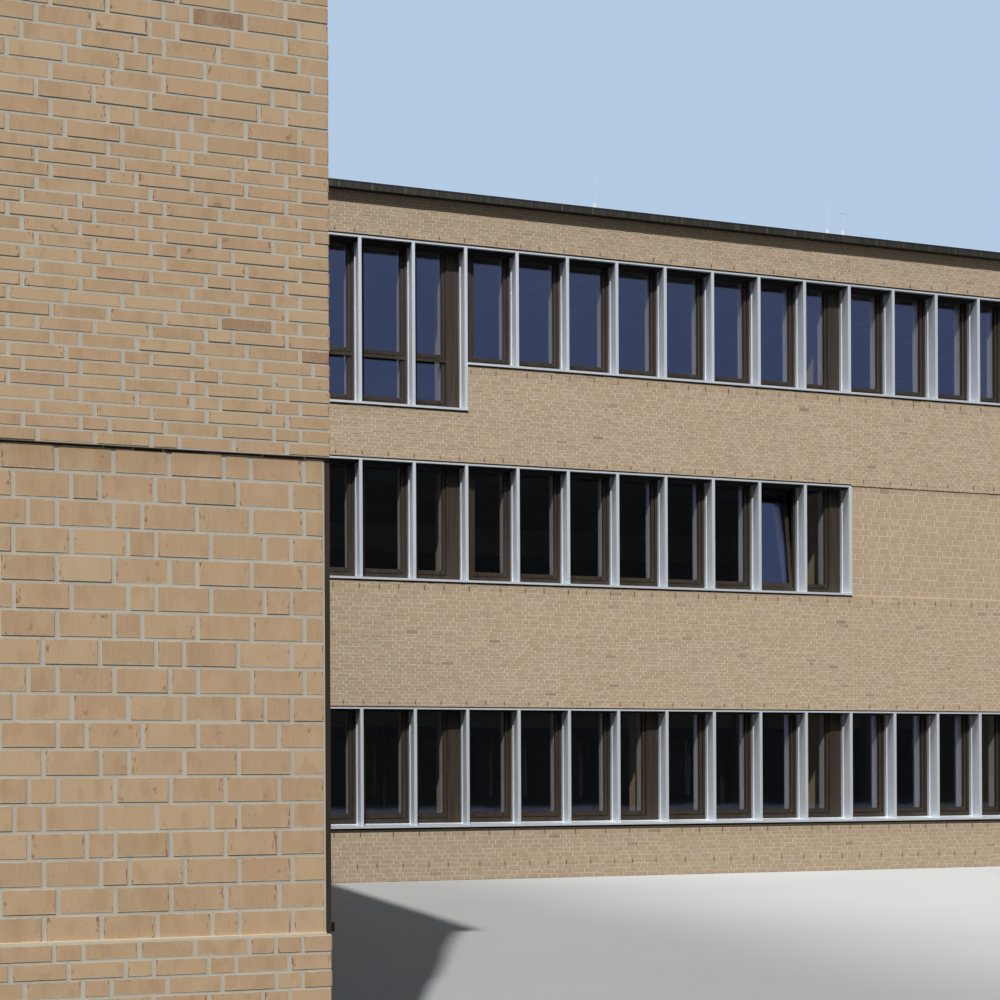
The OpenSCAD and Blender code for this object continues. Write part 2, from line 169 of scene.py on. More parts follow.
# %% [markdown]
# A sun, a soft wide light from the left and an even sky show the colours about as they are written.
# The camera stands low beside the wing, turned to the right, and is shifted up instead of tilted, so that upright
# edges stay upright, as with a view camera. The sky that the camera sees is pale, and the one that glass and metal
# mirror is darker, because high overhead a clear sky is a deeper blue than near the horizon.

# %% Camera
camera = bpy.data.objects.new("camera", bpy.data.cameras.new("camera"))
bpy.context.scene.collection.objects.link(camera)
camera.location = inner_corner + Vector((-1.550, -29.093, 2.004))
camera.rotation_euler = (math.radians(90), math.radians(0.249), math.radians(-17.785))
camera.data.lens = 57.71
camera.data.sensor_width = 36
camera.data.shift_y = 0.2737
camera.data.clip_end = 600
bpy.context.scene.camera = camera
print("camera at", [round(v, 3) for v in camera.location])

# %% Floor and sky
floor_wide, floor_drop = 500, 0.003
bpy.ops.mesh.primitive_plane_add(size=floor_wide, location=(0, 0, -floor_drop))
floor = bpy.context.object
floor.name = "studio_floor"
bpy.ops.object.select_all(action="DESELECT")

sky = bpy.data.worlds.new("pale_studio")
bpy.context.scene.world = sky
sky.use_nodes = True
sky_nodes = sky.node_tree.nodes
sky_links = sky.node_tree.links
light = sky_nodes["Background"]
light.inputs["Color"].default_value = (0.82, 0.91, 1.0, 1)
light.inputs["Strength"].default_value = 0.17
seen = sky_nodes.new("ShaderNodeBackground")
seen_colour = sky_nodes.new("ShaderNodeMix")
seen_colour.data_type = "RGBA"
sky_in_view, sky_in_glass = (0.46, 0.59, 0.77, 1), (0.25, 0.32, 0.42, 1)
seen_colour.inputs["A"].default_value = sky_in_view
seen_colour.inputs["B"].default_value = sky_in_glass
path = sky_nodes.new("ShaderNodeLightPath")
camera_or_glossy, any_view = [sky_nodes.new("ShaderNodeMath") for count in range(2)]
camera_or_glossy.operation = any_view.operation = "MAXIMUM"
choose = sky_nodes.new("ShaderNodeMixShader")
sky_links.new(path.outputs["Is Glossy Ray"], seen_colour.inputs["Factor"])
sky_links.new(seen_colour.outputs["Result"], seen.inputs["Color"])
sky_links.new(path.outputs["Is Camera Ray"], camera_or_glossy.inputs[0])
sky_links.new(path.outputs["Is Glossy Ray"], camera_or_glossy.inputs[1])
sky_links.new(camera_or_glossy.outputs[0], any_view.inputs[0])
sky_links.new(path.outputs["Is Transmission Ray"], any_view.inputs[1])
sky_links.new(any_view.outputs[0], choose.inputs["Fac"])
sky_links.new(light.outputs[0], choose.inputs[1])
sky_links.new(seen.outputs[0], choose.inputs[2])
sky_links.new(choose.outputs[0], sky_nodes["World Output"].inputs["Surface"])
print("floor", floor_wide, "metres wide, sky of", len(sky_nodes), "nodes")

# %% Sun and a soft light from the left


def far_light(name, to_left, height, energy, width, tint):
    """A light as far as the sun, so many degrees to the left of the front, and above the horizon."""
    lamp = bpy.data.objects.new(name, bpy.data.lights.new(name, "SUN"))
    bpy.context.scene.collection.objects.link(lamp)
    a, e = math.radians(to_left), math.radians(height)
    towards = Vector((-math.sin(a) * math.cos(e), -math.cos(a) * math.cos(e), math.sin(e)))
    lamp.rotation_euler = towards.to_track_quat("Z", "Y").to_euler()
    lamp.data.energy = energy
    lamp.data.angle = math.radians(width)
    lamp.data.color = tint
    print(name, to_left, "degrees to the left and", height, "degrees high")


far_light("sun", to_left=19, height=45, energy=3.2, width=1.0, tint=(1.0, 0.98, 0.95))
far_light("soft_left_light", to_left=74, height=56, energy=2.0, width=20, tint=(1.0, 0.99, 0.98))
bpy.context.scene.view_settings.view_transform = "Standard"

# %% [markdown]
# Glass shows what it mirrors. A photographer who wants dark panes stands a dark card behind the camera. This one is
# twenty three metres high, so the two lower storeys mirror it, while the top storey mirrors the sky above it.
# Only mirrored rays meet the card, so it takes no light from the building and throws no shadow.

# %% Dark card behind the camera
card_away, card_wide, card_high = 60, 260, 23
card_middle = (0, inner_corner.y - card_away, card_high / 2)
bpy.ops.mesh.primitive_plane_add(size=1, location=card_middle, rotation=(math.pi / 2, 0, 0))
card = bpy.context.object
card.name = "dark_card"
card.scale = (card_wide, card_high, 1)
card.visible_camera = card.visible_diffuse = card.visible_shadow = card.visible_transmission = False
bpy.ops.object.select_all(action="DESELECT")
print("dark card", card_wide, "x", card_high, "metres")

# %% [markdown]
# Finishes are built from nodes. The same few steps come back in each: a noise stretched to the grain of the
# material, a ramp that turns it into colours, and a bump for the surface. They are wrapped in short helpers.
# All of them read Object coordinates, which are metres here, so a grain has its real size on every piece.


# %% Helpers for finishes
fade_from, fade_to = -6.0, 1.0


def colour(red, green, blue):
    """An sRGB colour, as read from a picture, as the linear one that nodes use."""
    linear = [c / 255 / 12.92 if c <= 10 else ((c / 255 + 0.055) / 1.055) ** 2.4 for c in (red, green, blue)]
    return (*linear, 1)


class Finish:
    """A material with a main shader and short ways to add nodes to it."""

    def __init__(self, name, roughness=0.8, metallic=0.0):
        self.material = bpy.data.materials.new(name)
        self.material.use_nodes = True
        self.nodes = self.material.node_tree.nodes
        self.links = self.material.node_tree.links
        self.shader = self.nodes["Principled BSDF"]
        self.shader.inputs["Roughness"].default_value = roughness
        self.shader.inputs["Metallic"].default_value = metallic
        self.place = self.nodes.new("ShaderNodeTexCoord").outputs["Object"]

    def noise(self, stretch=None, place=None, scale=1.0, detail=2.0, roughness=0.5):
        """Noise on Object coordinates or another place, first multiplied along each axis if a stretch is given."""
        place = place or self.place
        if stretch:
            mapping = self.nodes.new("ShaderNodeMapping")
            mapping.inputs["Scale"].default_value = stretch
            self.links.new(place, mapping.inputs["Vector"])
            place = mapping.outputs["Vector"]
        texture = self.nodes.new("ShaderNodeTexNoise")
        texture.inputs["Scale"].default_value = scale
        texture.inputs["Detail"].default_value = detail
        texture.inputs["Roughness"].default_value = roughness
        self.links.new(place, texture.inputs["Vector"])
        return texture.outputs["Fac"]

    def ramp(self, factor, stops):
        """Colours at shares of the factor, given as (share, colour)."""
        node = self.nodes.new("ShaderNodeValToRGB")
        elements = node.color_ramp.elements
        elements[0].position, elements[0].color = stops[0]
        elements[1].position, elements[1].color = stops[-1]
        for share, value in stops[1:-1]:
            elements.new(share).color = value
        self.links.new(factor, node.inputs["Fac"])
        return node.outputs["Color"]

    def mix(self, factor, first, second):
        node = self.nodes.new("ShaderNodeMix")
        node.data_type = "RGBA"
        sockets = [s for s in node.inputs if s.enabled]
        for socket, value in zip(sockets, (factor, first, second)):
            if isinstance(value, bpy.types.NodeSocket):
                self.links.new(value, socket)
            else:
                socket.default_value = value
        return [s for s in node.outputs if s.enabled][0]

    def grey(self, factor, low, high, dark=0.0, light=1.0):
        """A soft step: dark below the low share of the factor, light above the high one."""
        node = self.nodes.new("ShaderNodeMapRange")
        for socket, value in zip(("From Min", "From Max", "To Min", "To Max"), (low, high, dark, light)):
            node.inputs[socket].default_value = value
        self.links.new(factor, node.inputs["Value"])
        return node.outputs["Result"]

    def over(self, under, factor, low, high, share, top):
        """A colour laid over another, by up to a share, as the factor goes from low to high."""
        return self.mix(self.grey(factor, low, high, 0.0, share), under, top)

    def maths(self, way, *values):
        node = self.nodes.new("ShaderNodeMath")
        node.operation = way
        for socket, value in zip(node.inputs, values):
            if isinstance(value, bpy.types.NodeSocket):
                self.links.new(value, socket)
            else:
                socket.default_value = value
        return node.outputs[0]

    def attribute(self, name):
        node = self.nodes.new("ShaderNodeAttribute")
        node.attribute_name = name
        return node.outputs["Fac"]

    def from_edges(self, name):
        """How far a point is from the nearer end, and from the nearer of top and bottom, as shares of the face."""
        flat = self.nodes.new("ShaderNodeUVMap")
        flat.uv_map = name
        parts = self.nodes.new("ShaderNodeSeparateXYZ")
        self.links.new(flat.outputs["UV"], parts.inputs[0])
        return [self.maths("PINGPONG", parts.outputs[part], 0.5) for part in ("X", "Y")]

    def towards_back(self, share):
        """Nothing on the near half of the wing, and the whole share from four metres before the main front."""
        parts = self.nodes.new("ShaderNodeSeparateXYZ")
        self.links.new(self.place, parts.inputs[0])
        return self.grey(parts.outputs["Y"], fade_from, fade_to, 0.0, share)

    def show(self, base, height=None, distance=0.001, strength=1.0, roughness=None):
        """Joins the finished colour, bump and roughness to the shader."""
        self.links.new(base, self.shader.inputs["Base Color"])
        if roughness is not None:
            self.links.new(roughness, self.shader.inputs["Roughness"])
        if height is not None:
            bump = self.nodes.new("ShaderNodeBump")
            bump.inputs["Distance"].default_value = distance
            bump.inputs["Strength"].default_value = strength
            self.links.new(height, bump.inputs["Height"])
            self.links.new(bump.outputs["Normal"], self.shader.inputs["Normal"])
        print("finish", self.material.name, "has", len(self.nodes), "nodes")
        return self.material


# %% [markdown]
# The brick is a sandy clay, pulled through a wire when wet, which leaves faint upright drag marks. A few bricks
# stood too close to the fire and came out dark brown, others have a pink cast, and most carry dark red kiln marks
# near their ends. A number called tone is stored on every brick, and it picks the brick's own colour and moves the
# noise, so that no mark runs on from one brick to the next. Each brick's face is also laid out flat from edge to
# edge, which tells the finish how near an edge a point is: there the mortar is smeared over the brick. The main
# block stands in the weather, and its bricks have bleached a little.

# %% Brick
brick_finish = Finish("sandy_brick", roughness=0.88)
tone = brick_finish.attribute("tone")
own = brick_finish.nodes.new("ShaderNodeVectorMath")
own.operation = "ADD"
shift = brick_finish.nodes.new("ShaderNodeVectorMath")
shift.operation = "SCALE"
shift.inputs[0].default_value = (91.0, 47.0, 63.0)
brick_finish.links.new(tone, shift.inputs["Scale"])
brick_finish.links.new(brick_finish.place, own.inputs[0])
brick_finish.links.new(shift.outputs[0], own.inputs[1])
on_brick = own.outputs[0]
across, upward = brick_finish.from_edges("UVMap")
clay = brick_finish.ramp(tone, [
    (0.0, colour(136, 108, 84)), (0.018, colour(152, 122, 96)), (0.024, colour(174, 140, 112)),
    (0.075, colour(174, 144, 114)), (0.30, colour(176, 148, 116)), (0.55, colour(169, 142, 110)),
    (0.78, colour(181, 155, 123)), (1.0, colour(172, 144, 111)),
])
marks = brick_finish.noise((150, 150, 14), on_brick, detail=3)
clay = brick_finish.over(clay, marks, 0.42, 0.66, 0.32, colour(184, 160, 131))
patches = brick_finish.noise((13, 13, 6), on_brick, detail=2)
clay = brick_finish.over(clay, patches, 0.54, 0.68, 0.35, colour(186, 163, 134))
clay = brick_finish.over(clay, patches, 0.44, 0.34, 0.34, colour(156, 126, 95))
smudges = brick_finish.noise((14, 14, 15), on_brick, detail=4, roughness=0.6)
clay = brick_finish.over(clay, smudges, 0.66, 0.75, 0.7, colour(112, 82, 62))
streaks = brick_finish.noise((120, 120, 30), on_brick, detail=3, roughness=0.6)
near_end = brick_finish.grey(across, 0.14, 0.0, 0.0, 0.20)
near_some_ends = brick_finish.maths("MULTIPLY", near_end, brick_finish.grey(patches, 0.46, 0.60))
marked = brick_finish.maths("ADD", streaks, near_some_ends)
clay = brick_finish.over(clay, marked, 0.665, 0.765, 0.78, colour(124, 72, 54))
fire = brick_finish.noise((5, 5, 34), on_brick, detail=2)
burnt = brick_finish.ramp(fire, [(0.38, colour(74, 70, 72)), (0.50, colour(100, 84, 76)), (0.62, colour(148, 112, 84))])
burnt = brick_finish.mix(brick_finish.towards_back(0.9), burnt, colour(146, 108, 80))
clay = brick_finish.over(clay, tone, 0.0035, 0.0030, 0.92, burnt)
smear = brick_finish.noise((30, 30, 120), on_brick, detail=3, roughness=0.6)
reach = brick_finish.maths("MULTIPLY_ADD", smear, -0.27, upward)
clay = brick_finish.over(clay, reach, -0.085, -0.105, 0.85, colour(176, 167, 151))
clay = brick_finish.mix(brick_finish.towards_back(0.22), clay, colour(196, 183, 164))
brick = brick_finish.show(clay, marks, distance=0.0012, strength=0.6)

# %% [markdown]
# The solid walls of the frame show only between the bricks, so they get the mortar: a light grey lime colour, a
# little darker where rain has soaked it, with a sandy grain. It is a bit paler on the main block, as its bricks are.

# %% Mortar
mortar_finish = Finish("grey_mortar", roughness=0.95)
sand = mortar_finish.noise(scale=420, detail=2)
damp = mortar_finish.noise((1.2, 1.2, 0.5), detail=3)
lime = mortar_finish.ramp(sand, [(0.3, colour(170, 164, 150)), (0.7, colour(188, 182, 168))])
lime = mortar_finish.over(lime, damp, 0.4, 0.7, 0.35, colour(164, 156, 142))
lime = mortar_finish.mix(mortar_finish.towards_back(0.62), lime, colour(206, 198, 182))
mortar = mortar_finish.show(lime, sand, distance=0.001, strength=0.5)

# %% [markdown]
# The surrounds and fins are anodised aluminium: a satin, slightly blue grey. Rolled sheet has a faint grain along
# its length, and each panel takes the dye a little differently.

# %% Aluminium
aluminium_finish = Finish("satin_aluminium", roughness=0.42, metallic=0.45)
grain = aluminium_finish.noise((260, 260, 2.5), detail=2)
sheets = aluminium_finish.noise((0.9, 0.9, 0.35), detail=1)
metal = aluminium_finish.ramp(sheets, [(0.3, colour(214, 220, 227)), (0.7, colour(226, 232, 239))])
metal = aluminium_finish.over(metal, grain, 0.3, 0.7, 0.25, colour(234, 237, 241))
aluminium = aluminium_finish.show(
    metal, grain, distance=0.0004, strength=0.35,
    roughness=aluminium_finish.grey(grain, 0.3, 0.7, 0.36, 0.5),
)

# %% [markdown]
# Frames, sashes and the roof edge are the same aluminium in a dark bronze coat, which is fine grained and dusty
# where rain runs off it.


# %% Bronze coat
def bronze_coat(name, dark, light, dust, share):
    finish = Finish(name, roughness=0.45, metallic=0.3)
    speckle = finish.noise(scale=900, detail=2)
    runs = finish.noise((16, 16, 0.8), detail=4)
    coat = finish.ramp(speckle, [(0.35, dark), (0.65, light)])
    coat = finish.over(coat, runs, 0.45, 0.75, share, dust)
    return finish.show(
        coat, speckle, distance=0.0002, strength=0.4, roughness=finish.grey(runs, 0.4, 0.7, 0.38, 0.6)
    )


bronze = bronze_coat("bronze_frames", colour(56, 47, 38), colour(64, 54, 44), colour(78, 68, 56), 0.3)
edge_bronze = bronze_coat("bronze_roof_edge", colour(46, 43, 36), colour(53, 50, 42), colour(70, 66, 56), 0.5)
edge_dark = bronze_coat("dark_edge_hem", colour(34, 33, 30), colour(40, 38, 34), colour(56, 54, 48), 0.3)
clip_metal = bronze_coat("edge_clips", colour(84, 80, 71), colour(94, 89, 79), colour(108, 102, 92), 0.4)

# %% [markdown]
# The panes are clear glass with a thin metal coat, which mirrors some of the light, the blue of it most, and lets
# the rest pass. By day the rooms are so much darker than the street that the panes look nearly black where they
# mirror nothing bright. Faint waves in the bump bend what they mirror, and rain leaves weak streaks. Only the main
# front is looked into from near, so the panes of the other sides are left dark all through, and mirror alike.
# Their near-black colour, darker and lighter in broad patches, is painted shade of the rooms behind them.


# %% Glass
def coated_glass(name, coat):
    finish = Finish(name, roughness=0.03, metallic=1.0)
    waves = finish.noise((1.6, 1.6, 0.9), detail=1)
    streaks = finish.noise((40, 40, 1.2), detail=3)
    tint = finish.over((0.41, 0.45, 0.72, 1), streaks, 0.45, 0.8, 0.3, (0.36, 0.40, 0.62, 1))
    finish.shader.inputs["Alpha"].default_value = coat
    return finish.show(tint, waves, distance=0.004, strength=0.25)


clear_panes = coated_glass("clear_panes", 0.22)

dark_panes_finish = Finish("dark_panes", roughness=0.03)
dark_panes_finish.shader.inputs["IOR"].default_value = 2.2
dark_panes_finish.shader.inputs["Specular Tint"].default_value = (0.58, 0.63, 1.0, 1)
dark_waves = dark_panes_finish.noise((1.6, 1.6, 0.9), detail=1)
# Painted shade of the rooms behind: a near-black colour, darker and lighter in broad patches.
painted_room_shade = dark_panes_finish.noise((0.7, 0.7, 0.4), detail=2)
dark_panes = dark_panes_finish.show(
    dark_panes_finish.ramp(painted_room_shade, [(0.3, colour(8, 9, 10)), (0.7, colour(16, 17, 18))]),
    dark_waves, distance=0.004, strength=0.25,
)

# %% [markdown]
# Inside, the floors and ceilings are bare concrete with the faint blotches of its setting, and the columns are
# painted a warm cream. Both are seen through the panes only. White paint goes on the boards beside the windows and on
# the holders of the lightning rods.

# %% Concrete and paint
concrete_finish = Finish("cast_concrete", roughness=0.85)
blotches = concrete_finish.noise((1.1, 1.1, 1.1), detail=5, roughness=0.6)
pores = concrete_finish.noise(scale=160, detail=2)
cement = concrete_finish.ramp(blotches, [(0.3, colour(118, 115, 108)), (0.7, colour(142, 139, 131))])
cement = concrete_finish.over(cement, pores, 0.62, 0.72, 0.5, colour(92, 90, 85))
concrete = concrete_finish.show(cement, pores, distance=0.001, strength=0.5)


def paint(name, low, high):
    finish = Finish(name, roughness=0.55)
    roller = finish.noise(scale=300, detail=2)
    return finish.show(finish.ramp(roller, [(0.3, low), (0.7, high)]), roller, distance=0.0006, strength=0.4)


cream = paint("cream_paint", colour(226, 206, 160), colour(234, 216, 174))
white = paint("white_paint", colour(232, 229, 225), colour(241, 238, 234))

# %% [markdown]
# The flat roofs carry a grey plastic membrane. Water stands on it in shallow pools and leaves pale rims of dust.

# %% Roof membrane
membrane_finish = Finish("roof_membrane", roughness=0.7)
pools = membrane_finish.noise((0.35, 0.35, 0.35), detail=4, roughness=0.6)
weave = membrane_finish.noise(scale=220, detail=2)
skin = membrane_finish.ramp(pools, [
    (0.3, colour(128, 130, 130)), (0.5, colour(140, 142, 141)), (0.56, colour(160, 159, 153)),
    (0.62, colour(136, 137, 135)), (0.8, colour(122, 124, 124)),
])
membrane = membrane_finish.show(
    skin, weave, distance=0.0008, strength=0.4, roughness=membrane_finish.grey(pools, 0.4, 0.7, 0.6, 0.8)
)

# %% Small finishes
steel_finish = Finish("galvanised_steel", roughness=0.45, metallic=0.35)
spangle = steel_finish.nodes.new("ShaderNodeTexVoronoi")
spangle.inputs["Scale"].default_value = 90
steel_finish.links.new(steel_finish.place, spangle.inputs["Vector"])
steel = steel_finish.show(
    steel_finish.ramp(spangle.outputs["Distance"], [(0.0, colour(196, 201, 206)), (0.6, colour(220, 224, 227))])
)


def plain_finish(name, low, high, scale, roughness, bump):
    """A nearly even finish with a fine grain, for seals and slots."""
    finish = Finish(name, roughness=roughness)
    fine = finish.noise(scale=scale, detail=3)
    return finish.show(finish.ramp(fine, [(0.3, low), (0.7, high)]), fine, distance=bump, strength=0.5)


rubber = plain_finish("black_rubber", colour(24, 24, 23), colour(34, 33, 31), 400, 0.6, 0.0003)
# Near black for the open weep joints, and for the painted shadow line under the overhanging brick of set back rows.
dark_joint_and_shadow = plain_finish("dark_open_joint_and_painted_shadow", colour(40, 32, 26), colour(60, 48, 40), 300, 0.95, 0.0010)
# Black for painted shade: in the soffits under the heads, over the heads, and the painted shadow under the sills.
painted_shade_black = plain_finish("black_painted_shade", colour(20, 19, 18), colour(30, 28, 26), 300, 0.95, 0.0005)
sealant = plain_finish("pale_sealant", colour(188, 174, 150), colour(202, 188, 164), 90, 0.7, 0.0008)

# %% [markdown]
# Each solid of the frame now takes its finish. The words in its name say what it is made of.


# %% Dress the frame
def dress(node, finish):
    mesh = nodes[node].data
    if not mesh.materials:
        mesh.materials.append(finish)
    for place in range(len(mesh.materials)):
        mesh.materials[place] = finish


finishes_by_word = [
    ("open_window_glass", clear_panes), ("front_window_glass", clear_panes), ("glass", dark_panes),
    ("sash", bronze), ("fins", aluminium), ("roof_edge", edge_bronze), ("columns", cream),
    ("floor", concrete), ("roof", membrane), ("rods", steel), ("brick", mortar), ("bands", mortar),
    ("panels", mortar), ("wall", mortar),
]
for node in sorted(nodes):
    for word, finish in finishes_by_word:
        if word in node:
            dress(node, finish)
            break
    else:
        print("no finish for", node)
print(len(nodes), "solids dressed")

# %% [markdown]
# Bricks, beads, clips and seals all repeat in their hundreds or thousands. Each is modelled once, about one metre
# long, wide and high, and a Geometry Nodes modifier sets a copy on every point of a cloud, stretched and turned by
# numbers stored on the point. The copies are realised and the modifier applied, so one plain mesh is left.
# The same modifier can push every corner about a millimetre, so that no two bricks have quite the same edges.


# %% A helper that lays copies of one model
def triangles(thing):
    return sum(len(face.vertices) - 2 for face in thing.data.polygons)


def copying_tree(model, ragged):
    tree = bpy.data.node_groups.new("copies_of_" + model.name, "GeometryNodeTree")
    tree.interface.new_socket("Geometry", in_out="INPUT", socket_type="NodeSocketGeometry")
    tree.interface.new_socket("Geometry", in_out="OUTPUT", socket_type="NodeSocketGeometry")
    add, link = tree.nodes.new, tree.links.new

    def stored(name, kind):
        node = add("GeometryNodeInputNamedAttribute")
        node.data_type = kind
        node.inputs["Name"].default_value = name
        return node.outputs["Attribute"]

    source = add("GeometryNodeObjectInfo")
    source.inputs["Object"].default_value = model
    turn = add("FunctionNodeEulerToRotation")
    link(stored("turn", "FLOAT_VECTOR"), turn.inputs[0])
    copy = add("GeometryNodeInstanceOnPoints")
    link(add("NodeGroupInput").outputs[0], copy.inputs["Points"])
    link(source.outputs["Geometry"], copy.inputs["Instance"])
    link(turn.outputs[0], copy.inputs["Rotation"])
    link(stored("size", "FLOAT_VECTOR"), copy.inputs["Scale"])
    real = add("GeometryNodeRealizeInstances")
    link(copy.outputs["Instances"], real.inputs["Geometry"])
    last = real.outputs["Geometry"]
    if ragged:
        noise = add("ShaderNodeTexNoise")
        noise.inputs["Scale"].default_value = 31.0
        centred = add("ShaderNodeVectorMath")
        centred.operation = "SUBTRACT"
        centred.inputs[1].default_value = (0.5, 0.5, 0.5)
        amount = add("ShaderNodeVectorMath")
        amount.operation = "SCALE"
        amount.inputs["Scale"].default_value = ragged
        push = add("GeometryNodeSetPosition")
        link(noise.outputs["Color"], centred.inputs[0])
        link(centred.outputs[0], amount.inputs[0])
        link(amount.outputs[0], push.inputs["Offset"])
        link(last, push.inputs["Geometry"])
        last = push.outputs["Geometry"]
    for name in ("size", "turn"):
        forget = add("GeometryNodeRemoveAttribute")
        forget.inputs["Name"].default_value = name
        link(last, forget.inputs["Geometry"])
        last = forget.outputs["Geometry"]
    link(last, add("NodeGroupOutput").inputs[0])
    return tree


def lay_copies(name, model, copies, finish, ragged=0.0):
    """One piece from copies of a model, each given as (centre, turn, size, tone)."""
    mesh = bpy.data.meshes.new(name)
    mesh.from_pydata([c[0] for c in copies], [], [])
    for key, place in (("turn", 1), ("size", 2)):
        layer = mesh.attributes.new(key, "FLOAT_VECTOR", "POINT")
        layer.data.foreach_set("vector", [v for c in copies for v in c[place]])
    layer = mesh.attributes.new("tone", "FLOAT", "POINT")
    layer.data.foreach_set("value", [c[3] for c in copies])
    piece = bpy.data.objects.new(name, mesh)
    bpy.context.scene.collection.objects.link(piece)
    tree = copying_tree(model, ragged)
    modifier = piece.modifiers.new("copies", "NODES")
    modifier.node_group = tree
    bpy.ops.object.select_all(action="DESELECT")
    piece.select_set(True)
    bpy.context.view_layer.objects.active = piece
    bpy.ops.object.modifier_apply(modifier="copies")
    bpy.data.node_groups.remove(tree)
    piece.data.materials.clear()
    piece.data.materials.append(finish)
    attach(piece, "root")
    piece.select_set(False)
    print(name, len(copies), "copies,", triangles(piece), "triangles")


# %% [markdown]
# The brick starts as a cube. Its front face is drawn in a little on all four sides, which gives the slightly
# rounded edge that catches the light, and leaves it at twelve triangles for the many thousand copies.


# %% Model one brick
def drawn_in_cube(name, shares):
    """A cube one metre wide, with its front face drawn in to these shares of its width, depth and height."""
    bpy.ops.object.select_all(action="DESELECT")
    bpy.ops.mesh.primitive_cube_add(size=1)
    model = bpy.context.object
    model.name = name
    bpy.ops.object.mode_set(mode="EDIT")
    bpy.ops.mesh.select_mode(type="FACE")
    mesh = bmesh.from_edit_mesh(model.data)
    for face in mesh.faces:
        face.select = face.normal.y < -0.9
    bmesh.update_edit_mesh(model.data)
    bpy.ops.transform.resize(value=shares)
    bpy.ops.object.mode_set(mode="OBJECT")
    print(name, "has", triangles(model), "triangles")
    return model


brick_model = drawn_in_cube("brick_model", (0.984, 1, 0.955))
flat = brick_model.data.uv_layers["UVMap"]
for corner in brick_model.data.loops:
    place = brick_model.data.vertices[corner.vertex_index].co
    flat.data[corner.index].uv = (place.x + 0.5, place.z + 0.5)

# %% [markdown]
# The wall is laid in a free bond: after one to five long bricks comes a short one, and the only other rule is
# that upright joints of one course never meet those of the next. All bricks are two or four quarters long, so if
# every second course starts with an odd number of quarters, its joints always fall between the others.
# Bricks at the end of a stretch are cut to fit. A vertical joint splits the main front where the building moves.


# %% Lay the courses
bed_joint, end_joint = 0.0100, 0.0190
quarter = 0.0625
longest_end, shortest_end = 4.9 * quarter, 0.6 * quarter
brick_deep = 0.012
proud = 0.0032
uneven = (-0.0022, 0.0026)
brick_ragged = 0.0034
movement_joint = 15.40
movement_gap = 0.016


def split_at_joint(side, spans):
    """Cuts the stretches of a course where the movement joint passes."""
    if side != "main_front":
        return spans
    cut = []
    for low, high in spans:
        if low < movement_joint < high:
            cut += [(low, movement_joint - movement_gap / 2), (movement_joint + movement_gap / 2, high)]
        else:
            cut.append((low, high))
    return cut


def course_lengths(space, odd, dice):
    """Lengths of the bricks of one course, each with its joint, so that they fill the space."""
    lengths = [dice.choice((1, 3)) * quarter] if odd else []
    long_ones = dice.choice((0, 1, 2, 3))
    while True:
        left = space - sum(lengths)
        if left <= longest_end:
            break
        if long_ones > 0:
            lengths.append(4 * quarter)
            long_ones -= 1
        else:
            lengths.append(2 * quarter)
            long_ones = dice.choice((1, 2, 3, 3, 4, 5))
    if left > 4 * quarter:
        lengths += [2 * quarter, left - 2 * quarter]
    elif left > shortest_end or not lengths:
        lengths.append(left)
    else:
        lengths[-1] += left
    return lengths


def brick_tone(dice, course):
    """Most bricks are sandy; a few, more of the thin ones, are burnt, brown or pink."""
    burnt, brown, pink = {
        thin: (0.002, 0.010, 0.035), normal: (0.001, 0.010, 0.03), tall: (0.0, 0.006, 0.03)
    }[course]
    roll = dice.random()
    if roll < burnt:
        return dice.uniform(0.0, 0.003)
    if roll < burnt + brown:
        return dice.uniform(0.004, 0.018)
    if roll < burnt + brown + pink:
        return dice.uniform(0.024, 0.07)
    return dice.uniform(0.08, 1.0)


def lay_course(side, low, course, spans, face, odd, dice, bricks, joints):
    """Bricks of one course. In the strips, the outer bricks run right to the corner."""
    turn = (0.0, 0.0, math.radians(sides[side][2]))
    for start, end in split_at_joint(side, spans):
        x = start
        lengths = course_lengths(end - start, odd, dice)
        for number, length in enumerate(lengths):
            if number > 0:
                joints.append((x, low, course, face))
            left = end_joint / 2 if number > 0 or face else 0.0
            right = end_joint / 2 if number < len(lengths) - 1 or face else 0.0
            back = dice.uniform(*uneven)
            middle = (x + left + x + length - right) / 2
            middle = on_side(side, middle, face - proud + brick_deep / 2 + back, low + course / 2)
            size = (length - left - right, brick_deep, course - bed_joint)
            bricks.append((middle, turn, size, brick_tone(dice, course)))
            x += length


# %% [markdown]
# In the window rows only short stretches of brick are left: beside the inner corner, past the end of a band, and
# the end of the brick leaf at an outer corner. There the brick lies two centimetres further back.


# %% Stretches of brick on each side
def band_stretches(side, storey):
    """Stretches of brick in a window row, outside the window bands of that storey."""
    length, up = sides[side][3], sides[side][4]
    ends = {
        "main_front": (-recess, length - recess), "main_back": (recess, length),
        "main_right": (recess, length - recess), "wing_end": (recess, length - recess),
        "wing_back": (0.0, length - recess), "wing_right": (recess, length + recess),
        "wing_left": (recess, length - recess),
    }
    low, high = ends[side]
    spans = []
    for b in bands:
        if b["side"] == side and abs(b["sill"] - sills[storey] - up) < 0.01:
            spans.append((low, b["start"]))
            low = b["start"] + b["bays"] * bay
    spans.append((low, high))
    return spans


def strip_stretches(side, low, course):
    """Stretches of brick between the window rows, where the tall windows reach down into one of them."""
    length = sides[side][3]
    if side == "main_front" and low + course > tall_sill + 0.001 and low < sills[2] - 0.001:
        return [(0.0, bay), ((1 + tall_windows) * bay, length)]
    return [(0.0, length)]


